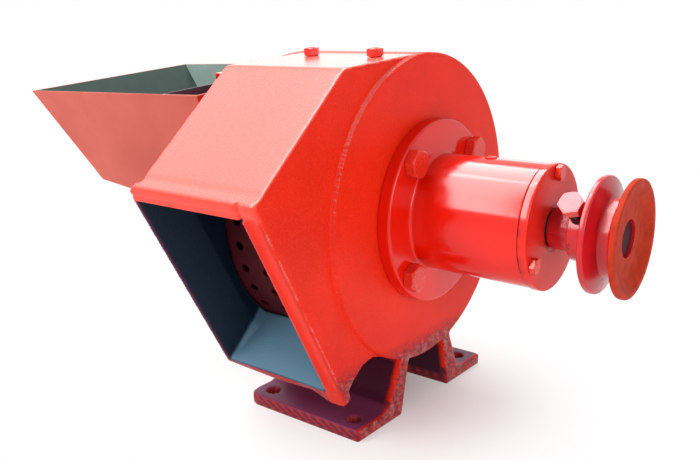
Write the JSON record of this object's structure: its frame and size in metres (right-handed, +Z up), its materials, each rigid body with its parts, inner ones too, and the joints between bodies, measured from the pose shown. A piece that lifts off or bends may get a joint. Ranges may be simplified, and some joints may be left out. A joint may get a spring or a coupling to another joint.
{
  "type": "powder grinder",
  "caption": "Small belt-driven toothed-disc mill: cast drum with feed hopper on a hinged door, half-ring screen, side discharge hood, bearing barrel and pulley on two feet.",
  "frame": {"origin": "centre of the bounding box's footprint, on the plane of the two feet's soles", "axes": "+X along the rotor shaft towards the belt pulley, -Y towards the discharge hood, +Z up"},
  "size_m": [0.5238, 0.325, 0.2791],
  "materials": {
    "castEnamel": "enamel over sand-cast iron",
    "enamel": "enamel over machined or bolted pieces",
    "sheetEnamel": "sprayed enamel over folded sheet",
    "darkSteel": "perforated sheet, worn dark by grinding",
    "steel": "turned",
    "castIron": "bare casting",
    "bearingSteel": "ground and polished",
    "brass": "turned",
    "felt": "oiled felt"
  },
  "bodies": {
    "casing": {"mill_casing": "castEnamel", "ring_screen": "darkSteel", "screen_clamp_bar": "steel", "screen_stud_1": "steel", "screen_stud_2": "steel", "screen_nut_1": "enamel", "screen_nut_2": "enamel", "bearing_housing": "enamel", "oil_plug": "brass", "flange_bolt_1": "enamel", "flange_bolt_2": "enamel", "flange_bolt_3": "enamel", "flange_bolt_4": "enamel", "bearing_cover": "enamel", "cover_screw_1": "enamel", "cover_screw_2": "enamel", "cover_screw_3": "enamel", "cover_seal": "felt", "chamber_seal": "felt", "chamber_bearing_outer_ring": "bearingSteel", "pulley_bearing_outer_ring": "bearingSteel", "hinge_pin": "steel"},
    "rotor": {"shaft": "steel", "chamber_bearing_inner_ring": "bearingSteel", "pulley_bearing_inner_ring": "bearingSteel", "bearing_sleeve": "steel", "pulley_key": "steel", "rotor_key": "steel", "belt_pulley": "enamel", "pulley_set_bolt": "enamel", "rotor_disc": "castIron", "beater_1": "steel", "beater_2": "steel", "beater_3": "steel", "beater_4": "steel", "beater_bolt_1": "steel", "beater_bolt_2": "steel", "beater_bolt_3": "steel", "beater_bolt_4": "steel", "rotor_washer": "steel", "rotor_nut": "steel"},
    "chamber_ball_cage": {"chamber_bearing_balls": "bearingSteel"},
    "pulley_ball_cage": {"pulley_bearing_balls": "bearingSteel"},
    "door": {"door": "castEnamel", "fixed_toothed_disc": "castIron", "stator_screw_1": "steel", "stator_screw_2": "steel", "stator_screw_3": "steel", "hopper": "sheetEnamel", "hopper_bolt_1": "steel", "hopper_bolt_2": "steel", "hopper_bolt_3": "steel", "hopper_bolt_4": "steel"},
    "feed_gate": {"feed_gate": "enamel"},
    "clamp_washer": {"clamp_washer": "steel"},
    "clamp_screw": {"clamp_screw": "steel", "clamp_tommy_bar": "steel"}
  },
  "joints": [
    {"name": "rotor_spin", "type": "hinge", "parent": "casing", "child": "rotor", "pos_m": [0.1051, 0.02371, 0.158], "axis": [1, 0, 0], "continuous": true},
    {"name": "chamber_ball_cage_spin", "type": "hinge", "parent": "casing", "child": "chamber_ball_cage", "pos_m": [0.1051, 0.02371, 0.158], "axis": [1, 0, 0], "continuous": true},
    {"name": "pulley_ball_cage_spin", "type": "hinge", "parent": "casing", "child": "pulley_ball_cage", "pos_m": [0.1051, 0.02371, 0.158], "axis": [1, 0, 0], "continuous": true},
    {"name": "door_swing", "type": "hinge", "parent": "casing", "child": "door", "pos_m": [-0.0109, 0.15371, 0.158], "axis": [0, 0, -1], "range_deg": [0, 100]},
    {"name": "feed_gate_lift", "type": "slide", "parent": "door", "child": "feed_gate", "axis": [0, -0.0993, 0.9951], "range_m": [0, 0.045]},
    {"name": "clamp_draw", "type": "slide", "parent": "door", "child": "clamp_washer", "axis": [-1, 0, 0], "range_m": [0, 0.008]},
    {"name": "clamp_turn", "type": "hinge", "parent": "clamp_washer", "child": "clamp_screw", "pos_m": [-0.0109, -0.10629, 0.158], "axis": [1, 0, 0], "continuous": true}
  ],
  "couplings": [
    {"joint": "chamber_ball_cage_spin", "follows": "rotor_spin", "ratio": 0.3736},
    {"joint": "pulley_ball_cage_spin", "follows": "rotor_spin", "ratio": 0.3736}
  ]
}
